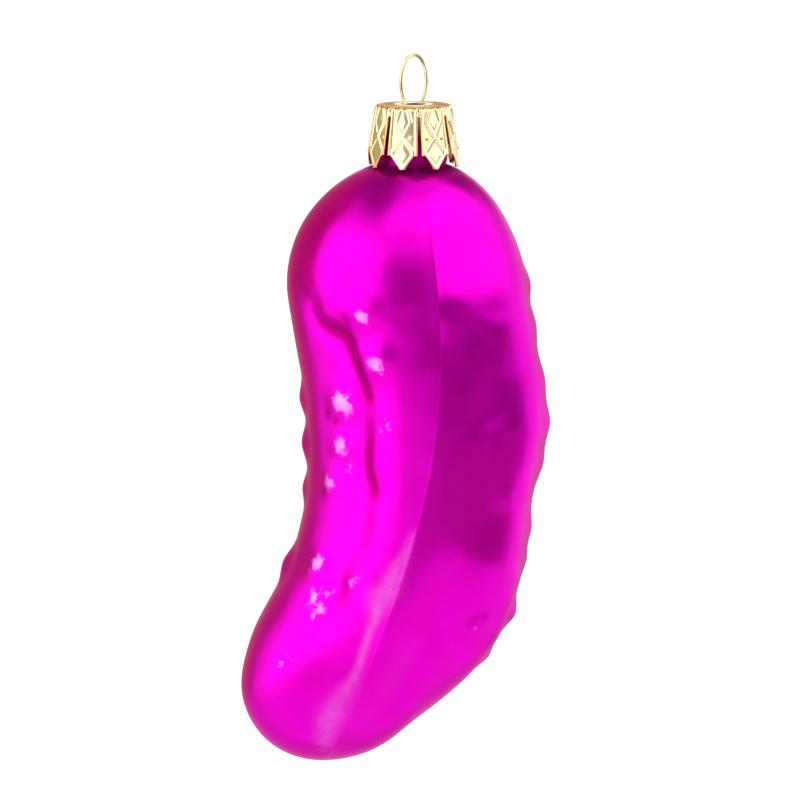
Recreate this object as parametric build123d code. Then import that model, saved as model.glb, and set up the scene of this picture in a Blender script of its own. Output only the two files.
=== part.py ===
from build123d import *
import math
import os

# Blown-glass pickle ornament: glass shell, crown cap and spring-wire hanger. Millimetres.
# The origin is the inside top of the wire loop, where the ornament hangs.
# +Z is up, -Y is the front and the pickle bends in the XZ plane.

# Hanger wire
wire_dia = 0.45
loop_width = 5.2             # over the wire
loop_rise = 7.55             # top of the loop above the cap
loop_belly = 4.0             # from the top of the loop down to its widest place
loop_crown = 60.0            # degrees of the tight arc on each side of the loop's top
waist_bend = 1.2             # bend radius where the wire goes through the cap
leg_reach = 8.0              # leg tips below the cap's top face
loop_turn = 36.0             # degrees from the X axis to the plane of the loop
hole_clearance = 0.12        # wire to the rim of the cap's hole
leg_clearance = 0.12         # leg tips to the bore of the neck
waist_half = 1.55            # centre line of each leg from the axis, in the hole

# Crown cap
cap_sheet = 0.25
cap_shoulder = 0.8           # outside bend radius round the top
cap_height = 9.3             # top face to the petal tips
cap_flare = 1.3              # tips stand this far outside the top's edge
neck_clearance = 0.25        # skirt to the glass neck
seat_gap = 0.05              # top plate to the rim of the neck
petal_count = 8
petal_width = 4.2            # at the top of the slits
petal_spread = 0.5           # a petal widens by this much down to its point
petal_turn = -15.0           # degrees from the front to the first petal
slit_start = 1.5             # slits begin this far below the top face
point_length = 2.1           # pointed end of a petal
ear_width = 0.55             # square step beside the point
tip_width = 0.8
rib_width = 0.36
rib_height = 0.12
rib_bite = 0.1               # rib sunk into the sheet
diamond_half = 1.15          # half width of the upper diamond
diamond_top = 0.6            # half width where it is cut off at the bend
rib_start = 0.3              # below the top face, as the next three
diamond_side = 2.3
diamond_cross = 4.6
diamond_low = 6.6

# Glass shell
glass_wall = 0.9
neck_dia = 10.2
body_length = 91.1           # shoulder under the petals to the tip
body_half_width = 18.2
waist_half_width = 17.3      # slight waist below the middle
tail_half_width = 19.1
body_half_depth = 17.2
belly_bow = 0.9              # the front and back bow outwards by this much
bow_share = 0.4              # share of the body's length from its middle to each end of the bow
shoulder_height = 19.4       # the shoulder reaches full width over this height
tail_height = 23.0           # the tail narrows over this height
tip_clearance = 0.2          # petal tips to the shoulder
crown_flat = 3.5             # first ring of the shell, hidden in the neck
crown_flat_inside = 2.9
tip_flat = 0.8               # closing ring at the tip
seam_height = 0.5
seam_half = 1.3
groove_depth = 0.65
groove_half = 1.6
facet_depth = 0.8            # flattened side, right of the front seam
facet_half = 5.6
facet_turn = 27.0            # degrees from the seam to the middle of the facet
facet_start = 0.18           # shares of the body's length, as the next seven
facet_run = 0.16             # the facet sinks in over this share
facet_end = 0.595
facet_slant = 0.055          # both ends of the facet run down to the right
top_blend = 0.1              # shares where the relief is full, starts to fade and has its side eased
tip_blend = 0.93
tail_blend = 0.8
groove_blend = 0.1           # the groove fades in and out over this share
side_fall = 0.14             # slope of the right side below the facet
side_reach = 12.0            # from the seam to where the slope is full
side_blend = 27.0            # from the seam to where the slope has ended
wart_height = 0.6
wart_half = 1.7
ring_points = 72             # points on a ring of the shell
dome_rings = 10
middle_rings = 34
tail_rings = 14

# The body's centre line: share of the body's length, sideways lean
centre_line = [
    (0.00, -0.5),
    (0.05, -1.0),
    (0.10, -1.3),
    (0.20, -0.9),
    (0.28, 0.2),
    (0.36, 1.4),
    (0.45, 1.8),
    (0.57, 0.6),
    (0.68, -1.6),
    (0.80, -6.3),
    (0.88, -9.9),
    (0.94, -12.0),
    (1.00, -13.8),
]

# The body's half width before its ends close: share of the body's length, half width
width_line = [
    (0.00, body_half_width),
    (0.42, body_half_width),
    (0.58, waist_half_width),
    (0.78, tail_half_width),
    (1.00, tail_half_width),
]

# The front mould seam: share of the body's length, degrees right of the front
seam_line = [
    (0.00, 15.0),
    (0.20, 14.5),
    (0.33, 9.5),
    (0.40, 5.4),
    (0.55, 0.8),
    (0.67, -4.3),
    (0.73, -5.0),
    (0.80, -3.3),
    (0.87, 0.0),
    (1.00, 0.0),
]

# The wavy groove: share of the body's length, degrees left of the front
groove_line = [
    (0.165, 80.0),
    (0.207, 57.8),
    (0.234, 46.3),
    (0.273, 32.1),
    (0.311, 27.7),
    (0.351, 26.2),
    (0.479, 28.0),
    (0.517, 24.3),
    (0.601, 24.6),
    (0.653, 30.5),
    (0.730, 27.0),
]

# Warts in lengthwise rows: degrees right of the front, shares of the body's length
wart_rows = [
    (-51, [0.51, 0.655]),
    (-43, [0.372, 0.439]),
    (-21, [0.221, 0.301]),
    (36, [0.42]),
    (49, [0.534, 0.755]),
    (90, [0.193, 0.262, 0.361, 0.427, 0.493, 0.606, 0.658, 0.749, 0.823]),
    (130, [0.24, 0.36, 0.47, 0.58, 0.70]),
    (163, [0.30, 0.41, 0.53, 0.64, 0.76]),
    (200, [0.26, 0.37, 0.48, 0.60, 0.72]),
    (235, [0.31, 0.43, 0.55, 0.67]),
    (270, [0.387, 0.461, 0.538, 0.665]),
]


# Heights that tie the three pieces together
cap_top = wire_dia - loop_rise
neck_rim = cap_top - cap_sheet - seat_gap
petal_tips = cap_top - cap_height
shoulder_top = petal_tips - tip_clearance
body_tip = shoulder_top - body_length
full_width_top = shoulder_top - shoulder_height
full_width_end = body_tip + tail_height

# Radii that tie the three pieces together
wire_r = wire_dia / 2
neck_r = neck_dia / 2
bore_r = neck_r - glass_wall
cap_inside_r = neck_r + neck_clearance
cap_r = cap_inside_r + cap_sheet
hole_r = waist_half + wire_r + hole_clearance
rim_round = cap_shoulder - cap_sheet - neck_clearance


def eased(points, at):
    """Smooth curve through a short list of (place, value) pairs."""
    last = len(points) - 1
    slopes = []
    for i in range(last + 1):
        before = points[max(i - 1, 0)]
        after = points[min(i + 1, last)]
        slopes.append((after[1] - before[1]) / (after[0] - before[0]))
    i = 0
    while i < last - 1 and at > points[i + 1][0]:
        i += 1
    step = points[i + 1][0] - points[i][0]
    t = (at - points[i][0]) / step
    start = points[i][1] * (2 * t**3 - 3 * t**2 + 1) + slopes[i] * step * (t**3 - 2 * t**2 + t)
    end = points[i + 1][1] * (3 * t**2 - 2 * t**3) + slopes[i + 1] * step * (t**3 - t**2)
    return start + end


def fade(value, low, high):
    """Smooth step from 0 at low to 1 at high."""
    t = min(max((value - low) / (high - low), 0.0), 1.0)
    return t * t * (3 - 2 * t)


def hump(distance, half):
    """Bell curve, 1 at its middle."""
    return math.exp(-0.5 * (distance / half) ** 2)


def turn_between(a, b):
    """Signed angle from b to a, in degrees."""
    return (a - b + 180) % 360 - 180


# Shell of the pickle


def dome_height():
    """Height of the elliptical shoulder that passes just under the petal tips."""
    tips_from_centre = cap_r + cap_flare - abs(centre_line[0][1])
    return shoulder_height / math.sqrt(1 - (tips_from_centre / body_half_width) ** 2)


def half_width(z, inset):
    share = (shoulder_top - z) / body_length
    middle = eased(width_line, min(max(share, 0.0), 1.0)) - inset
    if z > full_width_top:
        rise = (z - full_width_top) / (dome_height() - inset)
        return middle * math.sqrt(1 - rise**2)
    if z < full_width_end:
        fall = (full_width_end - z) / (tail_height - inset)
        return middle * math.sqrt(1 - fall**2)
    return middle


def relief(share, turn, radius):
    """Seam ridges, groove, flattened side and falling side, all faded out towards both ends."""
    arc = math.radians(radius)
    ends = fade(share, 0.0, top_blend) * (1 - fade(share, tip_blend, 1.0))
    tail = 1 - fade(share, tail_blend, 1.0)
    seam = eased(seam_line, share)
    from_seam = turn_between(turn, seam) * arc
    height = seam_height * hump(from_seam, seam_half)
    height += seam_height * hump(turn_between(turn, seam + 180) * arc, seam_half)
    slant = facet_slant * fade(from_seam, 0, side_reach)
    sunk = min(max((share - facet_start - slant) / facet_run, 0.0), 1.0)
    facet = hump(turn_between(turn, seam + facet_turn) * arc, facet_half)
    height -= facet_depth * (1 - (1 - sunk) ** 2) * facet * tail
    fall = side_fall * body_length * max(share - facet_end - slant, 0.0)
    height -= fall * fade(from_seam, 0, side_reach) * (1 - fade(from_seam, side_reach, side_blend)) * tail
    first = groove_line[0][0]
    last = groove_line[-1][0]
    groove = -eased(groove_line, min(max(share, first), last))
    length = fade(share, first, first + groove_blend) * (1 - fade(share, last - groove_blend, last))
    height -= groove_depth * length * hump(turn_between(turn, groove) * arc, groove_half)
    return height * ends


def warts_at(share, turn, radius):
    height = 0.0
    for row_turn, shares in wart_rows:
        across = turn_between(turn, row_turn) * math.radians(radius)
        for place in shares:
            along = (share - place) * body_length
            height += wart_height * hump(math.hypot(across, along), wart_half)
    return height


def ring(z, inset, warty):
    """One level section of the shell as a closed curve."""
    share = min(max((shoulder_top - z) / body_length, 0.0), 1.0)
    centre = eased(centre_line, share)
    across = half_width(z, inset)
    bow = belly_bow * min(abs(share - 0.5) / bow_share, 1.0) ** 2
    deep = across * (body_half_depth - bow) / eased(width_line, share)
    points = []
    for k in range(ring_points):
        turn = 360 * k / ring_points
        swell = relief(share, turn, across)
        if warty:
            swell += warts_at(share, turn, across)
        x = centre + (across + swell) * math.sin(math.radians(turn))
        y = -(deep + swell) * math.cos(math.radians(turn))
        points.append(Vector(x, y, z))
    spread = [k / ring_points for k in range(ring_points + 1)]
    return Wire([Edge.make_spline(points, periodic=True, parameters=spread)])


def ring_levels(inset, first):
    """Heights of the rings: even angles on the shoulder and the tail, even steps between."""
    dome = dome_height() - inset
    dome_start = math.asin(first / (body_half_width - inset))
    tail = tail_height - inset
    tail_end = math.acos(tip_flat / (tail_half_width - inset))
    levels = []
    for k in range(dome_rings):
        angle = dome_start + (math.pi / 2 - dome_start) * k / dome_rings
        levels.append(full_width_top + dome * math.cos(angle))
    for k in range(middle_rings):
        levels.append(full_width_top + (full_width_end - full_width_top) * k / middle_rings)
    for k in range(tail_rings + 1):
        levels.append(full_width_end - tail * math.sin(tail_end * k / tail_rings))
    return levels


def skin(inset, first, warty):
    return Solid.make_loft([ring(z, inset, warty) for z in ring_levels(inset, first)])


def post(radius, low, high):
    return Pos(0, 0, low) * Cylinder(radius, high - low, align=(Align.CENTER, Align.CENTER, Align.MIN))


def make_glass():
    outside = skin(0.0, crown_flat, True)
    inside = skin(glass_wall, crown_flat_inside, False)
    neck_end = full_width_top + dome_height() / 2
    neck = post(neck_r, neck_end, neck_rim)
    neck = fillet(neck.edges().sort_by(Axis.Z)[-1], rim_round)
    bore = post(bore_r, neck_end, cap_top)
    return outside + neck - inside - bore


# Crown cap


def sheet_profile(outer_lift, inner_lift, start_r):
    """Section of the bent sheet between two offsets from its outside face, height 0 at the top."""
    lean = math.atan2(cap_flare, cap_height)
    lines = []
    for lift in (outer_lift, inner_lift):
        corner = cap_r + lift * (1 - math.sin(lean)) / math.cos(lean)
        end_r = cap_r + cap_flare + lift * math.cos(lean)
        end_z = -cap_height + lift * math.sin(lean)
        lines.append(
            FilletPolyline((start_r, lift), (corner, lift), (end_r, end_z), radius=cap_shoulder + lift)
        )
    ends = Line(lines[0] @ 0, lines[1] @ 0) + Line(lines[0] @ 1, lines[1] @ 1)
    return make_face(lines[0] + lines[1] + ends)


def petal_plane(index):
    """Upright plane that faces outwards through the axis, at one petal."""
    azimuth = math.radians(petal_turn - 90 + 360 * index / petal_count)
    outwards = (math.cos(azimuth), math.sin(azimuth), 0)
    along = (-math.sin(azimuth), math.cos(azimuth), 0)
    return Plane(origin=(0, 0, cap_top), x_dir=along, z_dir=outwards)


def petal_outline():
    half = petal_width / 2
    low = half + petal_spread / 2
    ears = -(cap_height - point_length)
    right = [
        (half, 0),
        (half, -slit_start),
        (low, ears),
        (low - ear_width, ears),
        (tip_width / 2, -cap_height - cap_sheet),
    ]
    left = [(-x, y) for x, y in reversed(right)]
    return make_face(Polyline(right + left, close=True))


def rib_pattern():
    """Raised diamonds and side borders of one petal."""
    border = (petal_width - rib_width) / 2
    low_border = border + petal_spread / 2
    low_half = low_border - ear_width
    ears = -(cap_height - point_length)
    pattern = Sketch()
    for side in (-1, 1):
        zigzag = Polyline(
            (side * diamond_top, -rib_start),
            (side * diamond_half, -diamond_side),
            (0, -diamond_cross),
            (-side * low_half, -diamond_low),
            (0, -cap_height + tip_width / 2),
        )
        edge = Line((side * border, -rib_start), (side * low_border, ears + rib_width / 2))
        pattern += trace(zigzag, rib_width) + trace(edge, rib_width)
    return pattern


def make_cap():
    reach = cap_r + cap_flare + cap_height
    cup = Pos(0, 0, cap_top) * revolve(Plane.XZ * sheet_profile(0, -cap_sheet, hole_r), Axis.Z)
    layer = Pos(0, 0, cap_top) * revolve(Plane.XZ * sheet_profile(rib_height, -rib_bite, hole_r), Axis.Z)
    petals = Part()
    for index in range(petal_count):
        petals += extrude(petal_plane(index) * petal_outline(), reach)
    slits = post(reach, petal_tips - cap_sheet, cap_top - slit_start)
    cap = cup - (slits - petals)
    ribs = layer & extrude(petal_plane(0) * rib_pattern(), reach)
    for index in range(petal_count):
        cap += Rot(0, 0, 360 * index / petal_count) * ribs
    return cap


# Hanger wire


def half_wire():
    """Right half of the wire's centre line, from the top of the loop to a leg tip."""
    crown = math.radians(loop_crown)
    half = (loop_width - wire_dia) / 2
    belly = loop_belly
    # Two arc radii that give the loop its half width and the depth of its widest place
    top_r = (half - belly * (1 - math.sin(crown)) / math.cos(crown)) / (
        math.sin(crown) - (1 - math.sin(crown)) * (1 - math.cos(crown)) / math.cos(crown)
    )
    side_r = (belly - top_r * (1 - math.cos(crown))) / math.cos(crown)
    waist_z = cap_top - cap_sheet / 2
    side_centre = Vector(half - side_r, wire_r - belly)
    waist_centre = Vector(waist_half + waist_bend, waist_z)
    # Straight run between the side arc and the waist, tangent to both
    between = waist_centre - side_centre
    lean = math.atan2(-between.Y, between.X) - math.acos((side_r + waist_bend) / between.length)
    normal = Vector(math.cos(lean), -math.sin(lean))
    run_start = side_centre + normal * side_r
    run_end = waist_centre - normal * waist_bend
    # Straight leg from the waist, tangent to it, that ends at the bore of the neck
    tip = Vector(bore_r - leg_clearance - wire_r, cap_top - leg_reach)
    to_tip = tip - waist_centre
    swing = math.atan2(to_tip.Y, to_tip.X) - math.acos(waist_bend / to_tip.length)
    leg_start = waist_centre + Vector(math.cos(swing), math.sin(swing)) * waist_bend
    top = Vector(0, wire_r)
    top_end = Vector(top_r * math.sin(crown), wire_r - top_r * (1 - math.cos(crown)))
    waist_middle = waist_centre - Vector(waist_bend, 0)
    return [
        ThreePointArc(top, Vector(top_r * math.sin(crown / 2), wire_r - top_r * (1 - math.cos(crown / 2))), top_end),
        ThreePointArc(top_end, side_centre + Vector(side_r, 0), run_start),
        Line(run_start, run_end),
        ThreePointArc(run_end, waist_middle, leg_start),
        Line(leg_start, tip),
    ]


def make_wire():
    right = Curve() + half_wire()
    path = Wire((right + mirror(right, Plane.YZ)).edges())
    loop_plane = Plane.XZ.rotated((0, 0, loop_turn))
    path = loop_plane * path
    section = Plane(origin=path @ 0, z_dir=path % 0) * Circle(wire_r)
    return sweep(section, path)


os.makedirs("parts", exist_ok=True)
export_step(make_glass(), "parts/glass_pickle.step")
export_step(make_cap(), "parts/crown_cap.step")
export_step(make_wire(), "parts/hanger_wire.step")
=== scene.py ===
import bpy
import math
import numpy as np
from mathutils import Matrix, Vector


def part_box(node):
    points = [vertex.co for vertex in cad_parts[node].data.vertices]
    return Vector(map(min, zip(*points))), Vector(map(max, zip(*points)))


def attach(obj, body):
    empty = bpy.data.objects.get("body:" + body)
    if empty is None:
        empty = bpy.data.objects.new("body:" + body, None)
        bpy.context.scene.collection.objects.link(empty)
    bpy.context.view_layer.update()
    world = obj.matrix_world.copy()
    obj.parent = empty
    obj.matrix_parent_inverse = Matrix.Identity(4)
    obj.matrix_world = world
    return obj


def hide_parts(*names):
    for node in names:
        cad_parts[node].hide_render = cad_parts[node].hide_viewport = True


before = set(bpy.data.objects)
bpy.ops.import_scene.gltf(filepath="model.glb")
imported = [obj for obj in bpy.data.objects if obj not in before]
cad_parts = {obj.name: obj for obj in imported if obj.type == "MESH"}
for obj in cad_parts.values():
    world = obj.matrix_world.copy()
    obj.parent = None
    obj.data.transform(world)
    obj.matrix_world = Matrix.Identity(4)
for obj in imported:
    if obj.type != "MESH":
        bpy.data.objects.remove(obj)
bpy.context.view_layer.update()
print("frame loaded:", ", ".join(sorted(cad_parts)))

scene = bpy.context.scene
scene.view_settings.view_transform = "Standard"
mm = 0.001  # the pieces are sized in millimetres, the stage in metres

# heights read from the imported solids, in millimetres
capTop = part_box("crown_cap")[1].z / mm
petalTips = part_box("crown_cap")[0].z / mm
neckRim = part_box("glass_pickle")[1].z / mm
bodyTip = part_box("glass_pickle")[0].z / mm


# shared helpers


def fade(value, low, high):  # 0 up to low, 1 from high on, smooth between
    t = np.clip((value - low) / (high - low), 0.0, 1.0)
    return t * t * (3 - 2 * t)


def change(pair, value, reach):  # from the pair's first number to its second as value crosses the reach
    return pair[0] + (pair[1] - pair[0]) * fade(value, *reach)


def hump(distance, half):
    return np.exp(-0.5 * (distance / half) ** 2)


def ridge(distance, half):  # like a hump, but sharp on top
    return np.exp(-np.abs(distance) / half)


def bridge(start, startRun, end, endRun, t):  # cubic curve that leaves and arrives along the two runs
    leaving = start * (2 * t**3 - 3 * t**2 + 1) + startRun * (t**3 - 2 * t**2 + t)
    arriving = end * (3 * t**2 - 2 * t**3) + endRun * (t**3 - t**2)
    return leaving + arriving


def easedLine(points, at):  # smooth curve through (place, value) pairs
    place, value = np.array(points, float).T
    slope = np.gradient(value, place, edge_order=1)
    slope[1:-1] = (value[2:] - value[:-2]) / (place[2:] - place[:-2])
    at = np.clip(at, place[0], place[-1])
    i = np.clip(np.searchsorted(place, at) - 1, 0, len(place) - 2)
    step = place[i + 1] - place[i]
    return bridge(value[i], slope[i] * step, value[i + 1], slope[i + 1] * step, (at - place[i]) / step)


def meshObject(name, points, faces, attributes=None):
    mesh = bpy.data.meshes.new(name)
    mesh.from_pydata((np.asarray(points) * mm).tolist(), [], faces)
    for label, values in (attributes or {}).items():
        layer = mesh.attributes.new(label, "FLOAT", "POINT")
        layer.data.foreach_set("value", np.asarray(values, np.float32))
    mesh.update()
    made = bpy.data.objects.new(name, mesh)
    scene.collection.objects.link(made)
    return made


def newTree(name, inputs):  # geometry tree with named inputs, and their identifiers
    tree = bpy.data.node_groups.new(name, "GeometryNodeTree")
    idOf = {}
    for label, kind in inputs:
        socket = tree.interface.new_socket(label, in_out="INPUT", socket_type="NodeSocket" + kind)
        idOf[label] = socket.identifier
    tree.interface.new_socket("Geometry", in_out="OUTPUT", socket_type="NodeSocketGeometry")
    return tree, idOf


def addNode(tree, kind, settings=None, **wires):  # a wire is named for its socket, or i and its number
    node = tree.nodes.new(kind)
    for key, value in (settings or {}).items():
        setattr(node, key, value)
    for key, value in wires.items():
        numbered = key[0] == "i" and key[1:].isdigit()
        socket = node.inputs[int(key[1:]) if numbered else key.replace("_", " ")]
        if isinstance(value, bpy.types.NodeSocket):
            tree.links.new(value, socket)
        else:
            socket.default_value = value
    return node


def reckon(tree, operation, a, b=0.0):  # one Math node
    return addNode(tree, "ShaderNodeMath", {"operation": operation}, i0=a, i1=b).outputs[0]


def endTree(tree, geometry, finish):  # smooth, made real and painted
    smooth = addNode(tree, "GeometryNodeSetShadeSmooth", Geometry=geometry).outputs[0]
    real = addNode(tree, "GeometryNodeRealizeInstances", Geometry=smooth).outputs[0]
    painted = addNode(tree, "GeometryNodeSetMaterial", Geometry=real, Material=finish).outputs[0]
    addNode(tree, "NodeGroupOutput", Geometry=painted)


def useTree(made, tree, idOf, values):  # puts the tree on the object, with these inputs
    modifier = made.modifiers.new(tree.name, "NODES")
    modifier.node_group = tree
    for label, value in values.items():
        modifier[idOf[label]] = value


def bakeModifiers(made):  # what the modifiers make becomes the object's plain mesh
    depsgraph = bpy.context.evaluated_depsgraph_get()
    mesh = bpy.data.meshes.new_from_object(made.evaluated_get(depsgraph), depsgraph=depsgraph)
    made.modifiers.clear()
    old = made.data
    made.data = mesh
    mesh.name = made.name
    bpy.data.meshes.remove(old)
    print(made.name, "has", len(mesh.polygons), "faces")


# finishes


def newMaterial(name):
    made = bpy.data.materials.new(name)
    made.use_nodes = True
    tree = made.node_tree
    return made, tree, tree.nodes["Principled BSDF"]


def speckle(tree, scale, detail, roughness=0.5):  # noise on Object coordinates
    place = addNode(tree, "ShaderNodeTexCoord").outputs["Object"]
    node = addNode(
        tree, "ShaderNodeTexNoise", Vector=place, Scale=scale, Detail=detail, Roughness=roughness
    )
    return node.outputs["Fac"]


def pointMark(tree, label):  # a value stored on the mesh's points
    return addNode(tree, "ShaderNodeAttribute", {"attribute_name": label}).outputs["Fac"]


def mixColour(tree, share, under, over):
    node = addNode(tree, "ShaderNodeMix", {"data_type": "RGBA"}, i0=share, i6=under, i7=(*over, 1))
    return node.outputs[2]


def colourRamp(tree, value, stops):  # stops: value, colour
    node = addNode(tree, "ShaderNodeValToRGB", Fac=value)
    elements = node.color_ramp.elements
    for element, (place, colour) in ((elements[0], stops[0]), (elements[1], stops[-1])):
        element.position = place
        element.color = (*colour, 1)
    for place, colour in stops[1:-1]:
        elements.new(place).color = (*colour, 1)
    return node.outputs["Color"]


def scaled(tree, value, pair):  # 0 to 1 becomes the pair's first number to its second
    return addNode(tree, "ShaderNodeMapRange", Value=value, To_Min=pair[0], To_Max=pair[1]).outputs[0]


def setMetal(tree, shader, colour, roughness):
    tree.links.new(colour, shader.inputs["Base Color"])
    tree.links.new(roughness, shader.inputs["Roughness"])
    shader.inputs["Metallic"].default_value = 1.0


def setGrain(tree, shader, height, strength, depth):
    bump = addNode(tree, "ShaderNodeBump", Height=height, Strength=strength, Distance=depth)
    tree.links.new(bump.outputs["Normal"], shader.inputs["Normal"])


lacquerLook = {
    "tones": [(0.3, (0.80, 0.0012, 0.56)), (0.7, (0.88, 0.0018, 0.66))],  # cloudiness, colour
    # painted shade colour for the grooves, the warts' sides and the neck
    "pooled": (0.34, 0.0007, 0.15),
    # painted highlight colour for the high spots and the strip by the seam
    "worn": (0.98, 0.33, 0.94),
    # painted shade colour round the neck, under the cap
    "shaded": (0.42, 0.001, 0.23),
    "silver": (0.86, 0.84, 0.85),
    "edgeTint": (1.0, 0.6, 0.8),
    "cloudScale": 160.0,
    "mottleScale": 760.0,
    "ragged": 1.7,  # how far the mottle breaks up a painted highlight
    "highlightEdge": (0.36, 0.72),
    # strength of the painted highlight streaks by the seam
    "glintStreaks": 1.1,
    "roughness": (0.2, 0.3),
    "shadeDull": 0.3,  # roughness added where shade is painted
    "grainScale": 2600.0,
    "grainStrength": 0.08,
    "grainDepth": 0.05 * mm,
}


def lacquerFinish():  # satin magenta lacquer over silvered glass, its colour carrying painted shade and painted highlights
    look = lacquerLook
    made, tree, shader = newMaterial("satinMagentaLacquer")
    cloudy = speckle(tree, look["cloudScale"], detail=3.0, roughness=0.55)
    mottle = speckle(tree, look["mottleScale"], detail=3.0, roughness=0.6)
    grain = speckle(tree, look["grainScale"], detail=2.0)
    hollow = pointMark(tree, "hollow")
    rubbed = pointMark(tree, "rubbed")
    bare = pointMark(tree, "bare")
    shade = pointMark(tree, "shade")
    brushed = pointMark(tree, "brushed")
    # painted highlight: pale patches on the high spots, broken up by the mottle
    ragged = reckon(tree, "MULTIPLY", reckon(tree, "SUBTRACT", mottle, 0.5), look["ragged"])
    wornMask = addNode(
        tree, "ShaderNodeMapRange", {"interpolation_type": "SMOOTHSTEP"},
        Value=reckon(tree, "ADD", rubbed, ragged), From_Min=look["highlightEdge"][0], From_Max=look["highlightEdge"][1],
    )
    rubbedOff = reckon(tree, "MULTIPLY", wornMask.outputs[0], rubbed)
    # painted highlight streaks in the strip by the seam
    streaked = reckon(tree, "MULTIPLY", brushed, reckon(tree, "MULTIPLY", mottle, look["glintStreaks"]))
    worn = reckon(tree, "MAXIMUM", rubbedOff, streaked)
    colour = colourRamp(tree, cloudy, look["tones"])
    # painted shade in the hollows, painted highlights, painted shade round the neck, then bare silver at the
    # rim
    for share, over in ((hollow, "pooled"), (worn, "worn"), (shade, "shaded"), (bare, "silver")):
        colour = mixColour(tree, share, colour, look[over])
    dull = reckon(tree, "MULTIPLY", shade, look["shadeDull"])
    setMetal(tree, shader, colour, reckon(tree, "ADD", scaled(tree, cloudy, look["roughness"]), dull))
    shader.inputs["Specular Tint"].default_value = (*look["edgeTint"], 1)
    setGrain(tree, shader, grain, look["grainStrength"], look["grainDepth"])
    return made


gildingLook = {
    "tones": [  # painted shade and browning, colour
        (0.0, (1.0, 0.89, 0.64)), (0.45, (0.98, 0.68, 0.28)), (1.0, (0.95, 0.47, 0.13)),
    ],
    "cloudScale": 500.0,
    "evenShare": 0.35,  # the part of the browning and painted shade that isn't cloudy
    "roughness": (0.07, 0.17),
    "recessDull": 0.28,  # roughness added in the recesses
    "scuffScale": 4200.0,
    "scuffStrength": 0.1,
    "scuffDepth": 0.04 * mm,
}


def capFinish():  # pale champagne gilding, browner where shade is painted in the pleats and between the ribs, and at the petals' edges
    look = gildingLook
    made, tree, shader = newMaterial("champagneGilding")
    cloudy = speckle(tree, look["cloudScale"], detail=4.0, roughness=0.6)
    scuff = speckle(tree, look["scuffScale"], detail=2.0)
    recess = pointMark(tree, "recess")
    # painted shade and browning pick the gilding's colour
    stain = reckon(tree, "MULTIPLY", recess, reckon(tree, "ADD", cloudy, look["evenShare"]))
    dull = reckon(tree, "MULTIPLY", recess, look["recessDull"])
    roughness = reckon(tree, "ADD", scaled(tree, cloudy, look["roughness"]), dull)
    setMetal(tree, shader, colourRamp(tree, stain, look["tones"]), roughness)
    setGrain(tree, shader, scuff, look["scuffStrength"], look["scuffDepth"])
    return made


brassLook = {
    "tones": [(0.44, (0.42, 0.33, 0.08)), (0.54, (1.0, 0.88, 0.46))],  # patchiness, colour
    "patchScale": 220.0,
    "roughness": (0.04, 0.08),
}


def wireFinish():  # drawn yellow brass
    look = brassLook
    made, tree, shader = newMaterial("drawnBrass")
    patches = speckle(tree, look["patchScale"], detail=1.0)
    roughness = scaled(tree, patches, look["roughness"])
    setMetal(tree, shader, colourRamp(tree, patches, look["tones"]), roughness)
    return made


lacquer = lacquerFinish()
gilding = capFinish()
brass = wireFinish()
print("finishes made")


# glass pickle

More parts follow.
